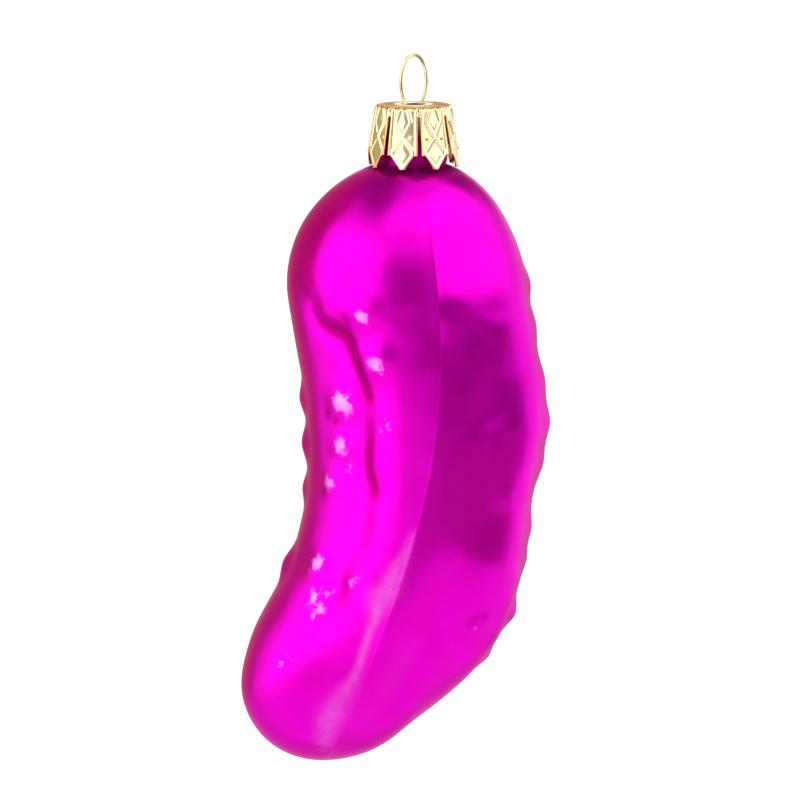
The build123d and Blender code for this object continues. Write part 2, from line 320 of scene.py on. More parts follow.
pickleSizes = {
    "wall": 0.9,
    "neckRadius": 5.1,
    "rimRound": 0.4,
    "bodyTop": petalTips - 0.3,  # just below the petals' tips
    "halfWidth": 18.2,
    "halfDepth": 17.2,
    "bellyBarrel": 0.9,  # the front and back bow this much over the body's length
    "bellyMiddle": 0.5,  # share of the length at the bow's middle
    "bellyReach": 0.4,  # and from there to its ends
    "shoulderHeight": 19.3,
    "domeHeight": 20.72,
    "tailHeight": 23.0,
    "neckFlare": 5.5,  # half width where the shoulder runs into the neck
    "neckFlareHeight": 0.8,
    "boreFlare": 5.0,  # half width where the bore runs into the dome
    "insideStart": 0.3,  # radians from the upright to the dome's first ring inside
    "shadeEdge": (6.2, 8.2),  # painted shade darkens the lacquer round the neck and lightens between these radii
    "shadeEnd": 0.1,  # share of the length below which no shade is painted
    "bareEdge": (4.0, 1.5),  # the neck gets bare between these depths below its rim
    "columns": 272,
    "bunching": 0.5,  # columns crowd towards the two seams
    "tailRings": 52,
    "middleRings": 108,
    "domeRings": 56,
    "flareRings": 5,
    "neckRings": 8,
    "rimRings": 6,
    "boreRings": 6,
    "insideRings": 14,
    "tailPole": 0.992,  # the rings stop just short of the tail's end, outside and inside
    "insidePole": 0.985,
    "reliefStart": (0.0, 0.1),  # shares of the length over which all relief grows in
    "reliefEnd": (0.95, 1.0),  # and fades out
    "creaseHeight": 0.55,
    "creaseStrength": (0.25, 1.0),
    "creaseGrows": (0.2, 0.32),  # shares of the length over which the crease gets stronger
    "creaseHalf": (2.4, 1.08),
    "creaseNarrows": (0.68, 0.8),
    "threadHeight": 0.06,  # a thin line on the crease
    "threadHalf": 0.16,
    "secondThreadPlace": 1.0,  # a second one right of it, on the lower body
    "secondThreadHalf": 0.25,
    "secondThreadGrows": (0.62, 0.75),
    "backSeamHeight": 0.4,
    "backSeamHalf": 1.6,
    "facetDepth": 1.05,
    "facetHalf": 5.6,
    "facetTurn": 27.0,  # degrees right of the seam
    "facetTop": (0.18, 0.235),  # share at the seam and away from it
    "facetTopReach": (0, 10),  # millimetres right of the seam from the one to the other
    "facetRun": 0.2,  # share of the length over which the facet sinks in
    "facetEase": (-0.05, 0.25),  # part of that run over which it sets in
    "facetEnd": (0.59, 0.645),
    "facetEndReach": (1, 15),
    "facetTurnIn": (0.03, 0.01),  # how gradual its end is, as a share
    "facetTurnInReach": (4, 14),
    "lowSideSlope": 0.14,  # the right side falls away below the facet
    "lowSideStart": (0, 10),  # millimetres right of the seam
    "lowSideEnd": (15, 27),
    "tailEase": (0.8, 1.0),  # shares over which the facet and the low side fade out
    "grooveHalf": 1.6,
    "grooveSteps": 60,
    "paintedShadeEdge": (0.5, 1.5),  # the painted shade by the groove fades out between these distances
    "paintedShadeDepth": 0.5,  # groove depth at which the painted shade is full
    "dimpleDepth": 0.5,
    "dimpleHalf": 3.4,
    "dimplePlace": (0.839, -20.0),
    "sideWartHeight": 0.6,
    "sideWartHalf": 1.7,
    "wartMoat": 0.1,  # share of the wart's height
    "moatPlace": 2.2,  # in half widths of the wart
    "moatHalf": 0.6,
    "rippleHeight": 0.16,
    "rippleScale": 95.0,
    "seed": 4,
}
bodyLength = pickleSizes["bodyTop"] - bodyTip
wideTop = pickleSizes["bodyTop"] - pickleSizes["shoulderHeight"]
wideEnd = bodyTip + pickleSizes["tailHeight"]
skinMarks = ("skin", "hollow", "rubbed", "bare", "shade", "brushed")  # values kept on the shell's points

# sideways lean and half width along the body: share of the body's length, millimetres
centreLine = [
    (0.00, -0.5), (0.05, -1.0), (0.10, -1.3), (0.20, -0.9), (0.28, 0.2), (0.36, 1.4), (0.45, 1.8),
    (0.57, 0.6), (0.68, -1.6), (0.80, -6.3), (0.88, -9.9), (0.94, -12.0), (1.00, -13.8),
]
widthLine = [(0.00, 18.2), (0.42, 18.2), (0.58, 17.3), (0.78, 19.1), (1.00, 19.1)]
# the front seam: share, degrees right of the front
seamLine = [
    (0.00, 15.0), (0.10, 14.5), (0.20, 14.5), (0.26, 12.9), (0.33, 9.5), (0.40, 5.4), (0.48, 2.8),
    (0.55, 0.8), (0.60, -0.8), (0.667, -2.2), (0.73, -1.4), (0.80, 0.4), (0.87, 2.6), (0.93, 2.4),
    (1.00, 0.0),
]
# the wavy groove: share, degrees left of the front; and share, depth
grooveLine = [
    (0.165, 62.0), (0.185, 56.6), (0.206, 50.5), (0.230, 48.5), (0.244, 44.5), (0.254, 37.5),
    (0.266, 32.8), (0.281, 31.6), (0.303, 30.2), (0.339, 28.3), (0.362, 26.6), (0.416, 27.5),
    (0.479, 28.0), (0.517, 24.3), (0.555, 25.2), (0.601, 24.6), (0.653, 30.5), (0.702, 27.1),
]
grooveDepth = [
    (0.165, 0.0), (0.20, 0.3), (0.23, 0.4), (0.265, 0.55), (0.33, 0.6), (0.36, 0.5), (0.38, 0.25),
    (0.395, 0.25), (0.42, 0.4), (0.47, 0.5), (0.515, 0.45), (0.54, 0.15), (0.57, 0.25), (0.61, 0.12),
    (0.63, 0.1), (0.67, 0.35), (0.70, 0.2), (0.73, 0.0),
]
# how much wider than the groove's plain band its painted shade is: share, factor
pooledWidth = [
    (0.165, 1.3), (0.21, 1.4), (0.245, 1.6), (0.275, 1.3), (0.31, 1.1), (0.37, 0.9), (0.73, 0.85),
]
# warts: share, degrees right of the front, height, half width
frontWarts = [
    (0.221, -23, 0.3, 1.7), (0.301, -20, 0.4, 1.7), (0.372, -42, 0.6, 1.9), (0.439, -44, 0.35, 1.8),
    (0.51, -51, 0.35, 1.7), (0.655, -50, 0.45, 1.8), (0.664, -23, 0.2, 1.7), (0.440, 30, 0.2, 1.7),
    (0.424, 40, 0.22, 1.7), (0.534, 48, 0.15, 1.5), (0.758, 55, 0.7, 1.3),
    (0.193, 92, 0.45, 1.5), (0.262, 90, 0.35, 1.8), (0.361, 88, 0.4, 2.2), (0.427, 91, 0.75, 2.0),
    (0.493, 90, 0.55, 1.9), (0.606, 89, 0.5, 1.8), (0.658, 92, 0.45, 1.4), (0.749, 90, 0.85, 1.5),
    (0.823, 91, 0.5, 1.2), (0.387, 270, 0.7, 1.6), (0.461, 271, 0.75, 1.7), (0.538, 269, 0.55, 1.4),
    (0.665, 270, 0.75, 1.7),
]
# plain rows of warts round the back: degrees right of the front, shares
sideWarts = [
    (130, [0.24, 0.36, 0.47, 0.58, 0.70]),
    (163, [0.30, 0.41, 0.53, 0.64, 0.76]),
    (200, [0.26, 0.37, 0.48, 0.60, 0.72]),
    (235, [0.31, 0.43, 0.55, 0.67]),
]
# painted highlights on the high spots: share, degrees right of the front, half width, strength
rubbedSpots = [
    (0.227, -23, 1.0, 0.8), (0.306, -20, 1.1, 0.9), (0.374, -41, 1.4, 1.0), (0.446, -44, 1.2, 0.8),
    (0.51, -52, 1.1, 0.8), (0.644, -50, 1.1, 0.9), (0.70, -44.5, 1.1, 0.7), (0.718, -37, 1.1, 0.7),
    (0.69, -37, 0.7, 0.6), (0.664, -25, 1.0, 0.45), (0.811, -45, 1.4, 0.4), (0.79, -44, 0.7, 0.45),
    (0.411, -19, 1.2, 0.4), (0.479, -38, 1.0, 0.5), (0.76, 53, 0.8, 0.5),
]
# painted shade by the warts and on the right side: share, degrees right of the front, half width, strength
pooledSpots = [
    (0.396, -53, 0.8, 0.8), (0.404, -47, 0.7, 0.7), (0.46, -52, 0.7, 0.5), (0.53, -57, 0.7, 0.5),
    (0.233, -31.8, 0.8, 0.8), (0.245, -32.3, 0.8, 0.8), (0.828, -25.5, 2.2, 0.16),
    (0.75, 49, 0.9, 0.4), (0.524, 50, 0.7, 0.3), (0.409, 49, 0.8, 0.3), (0.445, 38, 0.8, 0.3),
    (0.57, 27, 4.5, 0.16), (0.605, 40, 4.0, 0.22),
]
# painted highlight in a strip left of the seam: share, millimetres right of the seam, half width, strength
brushedStrip = [
    (0.57, -0.5, 0.4, 0.0), (0.61, -0.7, 0.5, 0.3), (0.645, -1.3, 0.8, 0.4), (0.685, -2.0, 1.2, 0.48),
    (0.715, -2.0, 0.8, 0.42), (0.745, -2.1, 0.5, 0.36), (0.82, -1.8, 0.5, 0.34), (0.85, -2.3, 1.0, 0.26),
    (0.895, -2.6, 1.3, 0.36), (0.93, -2.1, 1.0, 0.34), (0.955, -1.5, 0.9, 0.24), (0.975, -1.0, 0.7, 0.0),
]


def pickleShare(z):  # share of the body's length above this height
    return np.clip((pickleSizes["bodyTop"] - z) / bodyLength, 0, 1)


def pickleHalfWidth(z, inset):
    s = pickleSizes
    middle = easedLine(widthLine, pickleShare(z)) - inset
    rise = np.clip((z - wideTop) / (s["domeHeight"] - inset), 0, 1)
    fall = np.clip((wideEnd - z) / (s["tailHeight"] - inset), 0, 1)
    return middle * np.sqrt((1 - rise**2) * (1 - fall**2))


def seamTurn(share):  # degrees right of the front
    return easedLine(seamLine, share)


def turnApart(a, b):  # degrees from b to a, the short way round
    return (a - b + 180) % 360 - 180


def picklePoint(z, turn, inset):  # turn: degrees right of the front
    s = pickleSizes
    share = pickleShare(z)
    across = pickleHalfWidth(z, inset)
    barrel = s["bellyBarrel"] * np.clip((share - s["bellyMiddle"]) / s["bellyReach"], -1, 1) ** 2
    deep = across * (s["halfDepth"] - barrel) / easedLine(widthLine, share)
    x = easedLine(centreLine, share) + across * np.sin(np.radians(turn))
    y = -deep * np.cos(np.radians(turn))
    return np.stack(np.broadcast_arrays(x, y, z), axis=-1)


def spotDistance(share, turn, arc, spotShare, spotTurn):  # millimetres over the skin to a spot
    return np.hypot((share - spotShare) * bodyLength, turnApart(turn, spotTurn) * arc)


def grooveDistance(share, turn, arc):  # millimetres over the skin to the wavy groove's line
    at = np.linspace(grooveLine[0][0], grooveLine[-1][0], pickleSizes["grooveSteps"] + 1)
    line = -easedLine(grooveLine, at)
    nearest = np.full(np.broadcast(share, turn).shape, np.inf)
    for i in range(len(at) - 1):
        u = turnApart(turn, line[i]) * arc
        v = (share - at[i]) * bodyLength
        runU = (line[i + 1] - line[i]) * arc
        runV = (at[i + 1] - at[i]) * bodyLength
        t = np.clip((u * runU + v * runV) / (runU**2 + runV**2), 0, 1)
        nearest = np.minimum(nearest, np.hypot(u - t * runU, v - t * runV))
    return nearest


def seamLift(share, fromSeam, fromBack):  # the front crease with its threads, and the back seam
    s = pickleSizes
    half = change(s["creaseHalf"], share, s["creaseNarrows"])
    strong = change(s["creaseStrength"], share, s["creaseGrows"])
    crease = s["creaseHeight"] * strong * ridge(fromSeam, half)
    second = hump(fromSeam - s["secondThreadPlace"], s["secondThreadHalf"])
    threads = ridge(fromSeam, s["threadHalf"]) + second * fade(share, *s["secondThreadGrows"])
    back = s["backSeamHeight"] * ridge(fromBack, s["backSeamHalf"])
    return crease + s["threadHeight"] * threads + back


def facetSink(share, fromSeam, fromFacet):  # the flat right side, and the fall of the side below it
    s = pickleSizes
    top = change(s["facetTop"], fromSeam, s["facetTopReach"])
    along = np.clip((share - top) / s["facetRun"], 0, 1)
    sunk = (1 - (1 - along) ** 2) * fade(along, *s["facetEase"])
    facet = s["facetDepth"] * sunk * hump(fromFacet, s["facetHalf"])
    past = share - change(s["facetEnd"], fromSeam, s["facetEndReach"])
    turnIn = change(s["facetTurnIn"], fromSeam, s["facetTurnInReach"])
    past = (past + np.sqrt(past**2 + turnIn**2)) / 2  # below 0 it runs out smoothly
    fall = s["lowSideSlope"] * bodyLength * past
    fall = fall * fade(fromSeam, *s["lowSideStart"]) * (1 - fade(fromSeam, *s["lowSideEnd"]))
    return (facet + fall) * (1 - fade(share, *s["tailEase"]))


def pickleRelief(share, turn, across):  # lift along the normal, and the painted shade and painted highlights there
    s = pickleSizes
    arc = np.radians(across)  # millimetres round the skin for one degree
    seam = seamTurn(share)
    fromSeam = turnApart(turn, seam) * arc
    lift = seamLift(share, fromSeam, turnApart(turn, seam + 180) * arc)
    lift = lift - facetSink(share, fromSeam, turnApart(turn, seam + s["facetTurn"]) * arc)
    fromGroove = grooveDistance(share, turn, arc)
    deep = np.maximum(easedLine(grooveDepth, share), 0)
    lift = lift - deep * hump(fromGroove, s["grooveHalf"])
    fromDimple = spotDistance(share, turn, arc, *s["dimplePlace"])
    lift = lift - s["dimpleDepth"] * hump(fromDimple, s["dimpleHalf"])
    # painted shade along the groove, fullest where the groove is deepest
    inBand = 1 - fade(fromGroove / easedLine(pooledWidth, share), *s["paintedShadeEdge"])
    pooled = np.minimum(deep / s["paintedShadeDepth"], 1) * inBand
    # painted highlights on the high spots and painted shade by the warts
    rubbed = np.zeros_like(lift)
    for spots, layer in ((rubbedSpots, rubbed), (pooledSpots, pooled)):
        for spotShare, spotTurn, half, strength in spots:
            fromSpot = spotDistance(share, turn, arc, spotShare, spotTurn)
            np.maximum(layer, strength * hump(fromSpot, half), out=layer)
    # painted highlight in a strip beside the seam
    strip = np.array(brushedStrip)
    middle, half, strength = (easedLine(strip[:, [0, k]], share) for k in (1, 2, 3))
    brushed = np.maximum(strength, 0) * hump(fromSeam - middle, half)
    ends = fade(share, *s["reliefStart"]) * (1 - fade(share, *s["reliefEnd"]))
    return lift * ends, pooled * ends, rubbed, brushed


def gridNormals(points):
    along = np.gradient(points, axis=0)
    around = np.roll(points, -1, axis=1) - np.roll(points, 1, axis=1)
    normal = np.cross(around, along)
    return normal / np.maximum(np.linalg.norm(normal, axis=-1, keepdims=True), 1e-9)


def marksOf(shape, **given):  # a value for each of the skin's marks, 0 where none is given
    return np.stack([np.broadcast_to(given.get(label, 0.0), shape) for label in skinMarks], axis=-1)


def bodyRings(spread):  # the outside, from the tail up to the foot of the neck
    s = pickleSizes
    tailTurn = np.linspace(s["tailPole"], 0, s["tailRings"], endpoint=False) * np.pi / 2
    tail = wideEnd - s["tailHeight"] * np.sin(tailTurn)
    middle = np.linspace(wideEnd, wideTop, s["middleRings"], endpoint=False)
    domeEnd = math.acos(s["neckFlare"] / s["halfWidth"])
    dome = wideTop + s["domeHeight"] * np.sin(np.linspace(0, domeEnd, s["domeRings"]))
    level = np.concatenate([tail, middle, dome])[:, None]
    share = pickleShare(level)
    turn = seamTurn(share) + spread
    plain = picklePoint(level, turn, 0.0)
    lift, hollow, rubbed, brushed = pickleRelief(share, turn, pickleHalfWidth(level, 0.0))
    skin = plain + gridNormals(plain) * lift[..., None]
    # painted shade round the foot of the neck, under the cap
    fromAxis = np.hypot(skin[..., 0], skin[..., 1])
    shade = (1 - fade(fromAxis, *s["shadeEdge"])) * (share < s["shadeEnd"])
    marks = marksOf(lift.shape, skin=1, hollow=hollow, rubbed=rubbed, shade=shade, brushed=brushed)
    return skin, marks, turn[-1]


def neckRings(skin, turn):  # flare, neck, rounded rim and bore
    s = pickleSizes
    rings = []
    marks = []

    def addRing(points, **given):
        rings.append(points)
        # every ring of the neck gets the full painted shade
        marks.append(marksOf(turn.shape, shade=1, **given))

    def roundRing(radius, z):
        x = radius * np.sin(np.radians(turn))
        y = -radius * np.cos(np.radians(turn))
        return np.stack([x, y, np.full_like(x, z)], axis=-1)

    # the shoulder sweeps up into the neck
    edge = skin[-1]
    slope = edge - skin[-2]
    slope = slope / np.linalg.norm(slope, axis=-1, keepdims=True) * s["neckFlareHeight"]
    foot = edge[0, 2] + s["neckFlareHeight"]
    root = edge * s["neckRadius"] / np.hypot(edge[:, 0], edge[:, 1])[:, None]
    root[:, 2] = foot
    rise = np.array([0, 0, s["neckFlareHeight"]])
    # painted shade grows up the flare and is full on the neck, rim and bore
    for t in np.linspace(0, 1, s["flareRings"] + 1)[1:]:
        addRing(bridge(edge, slope, root, rise, t), hollow=t)
    straightTop = neckRim - s["rimRound"]
    bareStart, bareFull = (neckRim - depth for depth in s["bareEdge"])
    for z in np.linspace(foot, straightTop, s["neckRings"] + 1)[1:]:
        addRing(roundRing(s["neckRadius"], z), hollow=1, bare=fade(z, bareStart, bareFull))
    for a in np.linspace(0, math.pi / 2, s["rimRings"] + 1)[1:]:
        radius = s["neckRadius"] - s["rimRound"] * (1 - math.cos(a))
        addRing(roundRing(radius, straightTop + s["rimRound"] * math.sin(a)), hollow=1, bare=1)
    flare = s["boreFlare"] / (s["halfWidth"] - s["wall"])
    boreEnd = wideTop + (s["domeHeight"] - s["wall"]) * math.sqrt(1 - flare**2)
    for z in np.linspace(neckRim, boreEnd, s["boreRings"] + 1):
        addRing(roundRing(s["neckRadius"] - s["wall"], z), hollow=1, bare=1)
    return np.stack(rings), np.stack(marks)


def insideRings(spread):  # from the bore down to the tail
    s = pickleSizes
    domeTurn = np.linspace(s["insideStart"], np.pi / 2, s["insideRings"])
    dome = wideTop + (s["domeHeight"] - s["wall"]) * np.cos(domeTurn)
    middle = np.linspace(wideTop, wideEnd, 2 * s["insideRings"] + 2)[1:-1]
    tailTurn = np.linspace(0, s["insidePole"], s["insideRings"]) * np.pi / 2
    tail = wideEnd - (s["tailHeight"] - s["wall"]) * np.sin(tailTurn)
    level = np.concatenate([dome, middle, tail])[:, None]
    share = pickleShare(level)
    turn = seamTurn(share) + spread
    inside = picklePoint(level, turn, s["wall"])
    lift = pickleRelief(share, turn, pickleHalfWidth(level, s["wall"]))[0]
    inside = inside - gridNormals(inside) * np.minimum(lift, 0)[..., None]  # hollows push it in too
    return inside, marksOf(lift.shape, bare=1)


def pickleRings():
    s = pickleSizes
    u = np.arange(s["columns"]) / s["columns"]
    spread = 360 * (u - s["bunching"] * np.sin(4 * np.pi * u) / (4 * np.pi))  # degrees right of the seam
    body, bodyMarks, topTurn = bodyRings(spread)
    neck, neckMarks = neckRings(body, topTurn)
    inside, insideMarks = insideRings(spread)
    return np.concatenate([body, neck, inside]), np.concatenate([bodyMarks, neckMarks, insideMarks])


def closedGrid(rings):  # rings of points joined into a closed skin with a pole at each end
    count, columns = rings.shape[:2]
    points = rings.reshape(-1, 3)
    points = np.concatenate([points, rings[0].mean(0)[None], rings[-1].mean(0)[None]])
    faces = []
    for r in range(count - 1):
        low = r * columns
        high = low + columns
        for c in range(columns):
            n = (c + 1) % columns
            faces.append((low + c, low + n, high + n, high + c))
    first = count * columns
    last = (count - 1) * columns
    for c in range(columns):
        n = (c + 1) % columns
        faces.append((first, n, c))
        faces.append((first + 1, last + c, last + n))
    return points, faces


def wartPoints():  # one point for each wart, with its height and half width
    s = pickleSizes
    rows = list(frontWarts)
    for turn, shares in sideWarts:
        rows += [(share, turn, s["sideWartHeight"], s["sideWartHalf"]) for share in shares]
    share, turn, height, half = np.array(rows, float).T
    points = picklePoint(s["bodyTop"] - share * bodyLength, turn, 0.0)
    made = meshObject("wartPlaces", points, [], {"wartHeight": height * mm, "wartHalf": half * mm})
    return made, len(rows)


def wartTree():  # lifts the skin at every wart, with a shallow moat round it, and ripples it a little
    tree, idOf = newTree("wartySkin", [
        ("Geometry", "Geometry"), ("Warts", "Object"), ("Wart Count", "Int"), ("Moat", "Float"),
        ("Moat Place", "Float"), ("Moat Half", "Float"), ("Ripple Height", "Float"),
        ("Ripple Scale", "Float"), ("Seed", "Float"), ("Finish", "Material"),
    ])
    given = addNode(tree, "NodeGroupInput").outputs
    warts = addNode(tree, "GeometryNodeObjectInfo", Object=given["Warts"]).outputs["Geometry"]
    spot = addNode(tree, "GeometryNodeInputPosition").outputs[0]
    loopStart = addNode(tree, "GeometryNodeRepeatInput")
    loopEnd = addNode(tree, "GeometryNodeRepeatOutput")
    loopStart.pair_with_output(loopEnd)

    def storeLift(geometry, value):
        node = addNode(
            tree, "GeometryNodeStoreNamedAttribute", {"data_type": "FLOAT"},
            Geometry=geometry, Name="wartLift", Value=value,
        )
        return node.outputs["Geometry"]

    def ofWart(value, kind):  # the value at this turn's wart
        node = addNode(
            tree, "GeometryNodeSampleIndex", {"data_type": kind},
            Geometry=warts, Value=value, Index=loopStart.outputs["Iteration"],
        )
        return node.outputs[0]

    def named(label):
        node = addNode(tree, "GeometryNodeInputNamedAttribute", {"data_type": "FLOAT"}, Name=label)
        return node.outputs["Attribute"]

    def bell(distance, half):
        squared = reckon(tree, "POWER", reckon(tree, "DIVIDE", distance, half), 2.0)
        return reckon(tree, "EXPONENT", reckon(tree, "MULTIPLY", squared, -0.5))

    tree.links.new(given["Wart Count"], loopStart.inputs["Iterations"])
    tree.links.new(storeLift(given["Geometry"], 0.0), loopStart.inputs["Geometry"])
    centre = ofWart(spot, "FLOAT_VECTOR")
    away = addNode(tree, "ShaderNodeVectorMath", {"operation": "DISTANCE"}, i0=spot, i1=centre)
    reach = reckon(tree, "DIVIDE", away.outputs["Value"], ofWart(named("wartHalf"), "FLOAT"))
    fromMoat = reckon(tree, "SUBTRACT", reach, given["Moat Place"])
    moat = reckon(tree, "MULTIPLY", bell(fromMoat, given["Moat Half"]), given["Moat"])
    profile = reckon(tree, "SUBTRACT", bell(reach, 1.0), moat)
    grown = reckon(tree, "MULTIPLY", profile, ofWart(named("wartHeight"), "FLOAT"))
    total = reckon(tree, "ADD", named("wartLift"), grown)
    tree.links.new(storeLift(loopStart.outputs["Geometry"], total), loopEnd.inputs["Geometry"])
    waves = addNode(
        tree, "ShaderNodeTexNoise", {"noise_dimensions": "4D"},
        Vector=spot, W=given["Seed"], Scale=given["Ripple Scale"], Detail=1.0,
    )
    ripple = reckon(tree, "SUBTRACT", waves.outputs[0], 0.5)
    ripple = reckon(tree, "MULTIPLY", ripple, given["Ripple Height"])
    lift = reckon(tree, "MULTIPLY", reckon(tree, "ADD", named("wartLift"), ripple), named("skin"))
    normal = addNode(tree, "GeometryNodeInputNormal").outputs["Normal"]
    offset = addNode(tree, "ShaderNodeVectorMath", {"operation": "SCALE"}, i0=normal, Scale=lift)
    moved = addNode(
        tree, "GeometryNodeSetPosition",
        Geometry=loopEnd.outputs["Geometry"], Offset=offset.outputs["Vector"],
    )
    endTree(tree, moved.outputs[0], given["Finish"])
    return tree, idOf


def makePickle():
    s = pickleSizes
    rings, marks = pickleRings()
    points, faces = closedGrid(rings)
    flat = marks.reshape(-1, len(skinMarks))
    flat = np.concatenate([flat, marks[0].mean(0)[None], marks[-1].mean(0)[None]])
    made = meshObject("pickleShell", points, faces, dict(zip(skinMarks, flat.T)))
    warts, count = wartPoints()
    tree, idOf = wartTree()
    useTree(made, tree, idOf, {
        "Warts": warts, "Wart Count": count, "Moat": s["wartMoat"], "Moat Place": s["moatPlace"],
        "Moat Half": s["moatHalf"], "Ripple Height": s["rippleHeight"] * mm,
        "Ripple Scale": s["rippleScale"], "Seed": float(s["seed"]), "Finish": lacquer,
    })
    bakeModifiers(made)
    bpy.data.objects.remove(warts)
    return made


pickleShell = makePickle()
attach(pickleShell, "pickle")
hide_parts("glass_pickle")


# crown cap

capSizes = {
    "sheet": 0.25,
    "radius": 5.6,
    "shoulder": 0.8,
    "flare": 1.3,
    "holeRadius": 1.92,
    "petals": 8,
    "turn": -15.0,  # degrees right of the front to the first petal
    "petalWidth": 4.2,
    "petalSpread": 0.5,  # the petals widen by this much down to their ears
    "slitStart": 1.5,
    "pointLength": 2.1,
    "earWidth": 0.55,
    "tipWidth": 0.8,
    "flatness": 0.75,  # the petals flatten towards their tips
    "flatInset": 0.12,
    "ribWidth": 0.4,
    "ribHeight": 0.2,
    "ribProfile": (0.3, 0.85),  # shares of the width at which a rib starts to fall, and is gone
    "ribStart": 0.3,
    "ribEnd": 0.1,  # the ribs stop this far above the ears and the tip
    "diamondTop": 0.6,
    "diamondHalf": 1.15,
    "diamondSide": 2.3,
    "diamondCross": 4.6,
    "diamondLow": 6.6,
    "pillow": 0.1,
    "pillowEase": 0.7,
    "lowPillow": (7.2, 2.6),  # depth of the lower pillow's middle, and half its height
    "dotPlace": 1.3,
    "dotRadius": 0.17,
    "dotHeight": 0.08,
    "pleats": 48,
    "pleatDepth": 0.14,
    "pleatParts": (0.3, 0.2),  # the even wave, and the one that makes every other pleat differ
    "pleatShift": 1.0,
    "pleatStart": (2.7, 3.3),  # the pleats grow in between these radii
    "pleatEnd": (0.1, 0.6),  # and fade out between these depths below the top
    # brown tone on the plate and the petals' edges, painted shade between the ribs and in the pleats
    "plateBrown": 0.15,
    "sheetShade": 0.3,
    "edgeBrown": 0.75,
    "edgeReach": (0.32, 0.06),  # distances from a petal's edge between which its browning sets in
    "bendStain": 0.3,
    "pleatShade": 0.75,
    "plateRings": 16,
    "bendRings": 13,
    "petalRows": (6, 47, 17),  # down to the slits, the ears and the tips
    "petalColumns": 31,
    "earColumns": 4,
    "weld": 0.02,
}
capHeight = capTop - petalTips
earDepth = capHeight - capSizes["pointLength"]  # depths are measured down from the top
petalLean = math.atan2(capSizes["flare"], capHeight)
tiny = 1e-6  # slack for comparing depths


def segmentDistance(u, v, a, b):
    a = np.array(a)
    run = np.array(b) - a
    t = np.clip(((u - a[0]) * run[0] + (v - a[1]) * run[1]) / (run @ run), 0, 1)
    return np.hypot(u - a[0] - t * run[0], v - a[1] - t * run[1])


def petalHalf(v):  # half width of a petal, wider towards its ears
    s = capSizes
    down = np.clip((v - s["slitStart"]) / (earDepth - s["slitStart"]), 0, 1)
    return 0.5 * s["petalWidth"] + 0.5 * s["petalSpread"] * down


def petalEmboss(u, v):  # height above the plain sheet; u sideways, v down from the top
    s = capSizes
    rim = s["ribWidth"] / 2
    lowHalf = petalHalf(earDepth) - s["earWidth"] - rim
    distance = np.full_like(u, np.inf)
    for side in (-1, 1):
        zigzag = [
            (side * s["diamondTop"], s["ribStart"]), (side * s["diamondHalf"], s["diamondSide"]),
            (0, s["diamondCross"]), (-side * lowHalf, s["diamondLow"]), (-side * lowHalf, earDepth),
            (0, capHeight - s["ribEnd"]),
        ]
        borderDepths = (s["ribStart"], s["slitStart"], earDepth - s["ribEnd"])
        border = [(side * (petalHalf(depth) - rim), depth) for depth in borderDepths]
        for path in (zigzag, border):
            for a, b in zip(path[:-1], path[1:]):
                distance = np.minimum(distance, segmentDistance(u, v, a, b))
    full, gone = (s["ribWidth"] * part for part in s["ribProfile"])
    rib = s["ribHeight"] * (1 - fade(distance, full, gone))
    upperHeight = s["diamondCross"] - s["diamondSide"]
    lowMiddle, lowHeight = s["lowPillow"]
    upper = np.abs(v - s["diamondSide"]) / upperHeight + np.abs(u) / s["diamondHalf"]
    lower = np.abs(v - lowMiddle) / lowHeight + np.abs(u) / lowHalf
    pillow = s["pillow"] * fade(1 - np.minimum(upper, lower), 0, s["pillowEase"])
    fromDot = np.hypot(np.abs(u) - s["dotPlace"], v - s["diamondCross"])
    dot = s["dotHeight"] * hump(fromDot, s["dotRadius"])
    return fade(v, 0.0, s["ribStart"]) * np.maximum(rib, np.maximum(pillow, dot))


def pleatWave(angle):  # 0 to 1 round the shoulder
    s = capSizes
    even, uneven = s["pleatParts"]
    halfPace = math.cos(0.5 * s["pleats"] * angle + s["pleatShift"])
    return 0.5 + even * math.cos(s["pleats"] * angle) + uneven * halfPace


def capSection():  # radius, depth, direction of the outward normal: plate, bend and petal
    s = capSizes
    upright = math.pi / 2
    bend = upright - petalLean
    bendStart = s["radius"] - s["shoulder"] * math.tan(bend / 2)
    plate = np.linspace(s["holeRadius"], bendStart, s["plateRings"], endpoint=False)
    section = [(radius, 0.0, upright) for radius in plate]
    for t in np.linspace(0, bend, s["bendRings"]):
        radius = bendStart + s["shoulder"] * math.sin(t)
        section.append((radius, s["shoulder"] * (1 - math.cos(t)), upright - t))
    stops = (section[-1][1], s["slitStart"], earDepth, capHeight)
    for start, end, rows in zip(stops[:-1], stops[1:], s["petalRows"]):
        for v in np.linspace(start, end, rows + 1)[1:]:
            section.append((s["radius"] + s["flare"] * v / capHeight, float(v), petalLean))
    return section


def petalPlace(radius, v, share, earShare):  # sideways, outwards, and how near the petal's edge
    s = capSizes
    reach = float(petalHalf(v))
    u = share * reach
    if v > earDepth + tiny:
        taper = (v - earDepth) / s["pointLength"]
        reach = earShare * float(petalHalf(capHeight)) * (1 - taper) + s["tipWidth"] / 2 * taper
        u = share / earShare * reach
    far, close = s["edgeReach"]
    nearEdge = float(fade(abs(u), reach - far, reach - close))
    flatten = s["flatness"] * float(fade(v, s["slitStart"], earDepth))
    out = math.sqrt(radius**2 - u**2) * (1 - flatten) + (radius - s["flatInset"]) * flatten
    return u, out, nearEdge


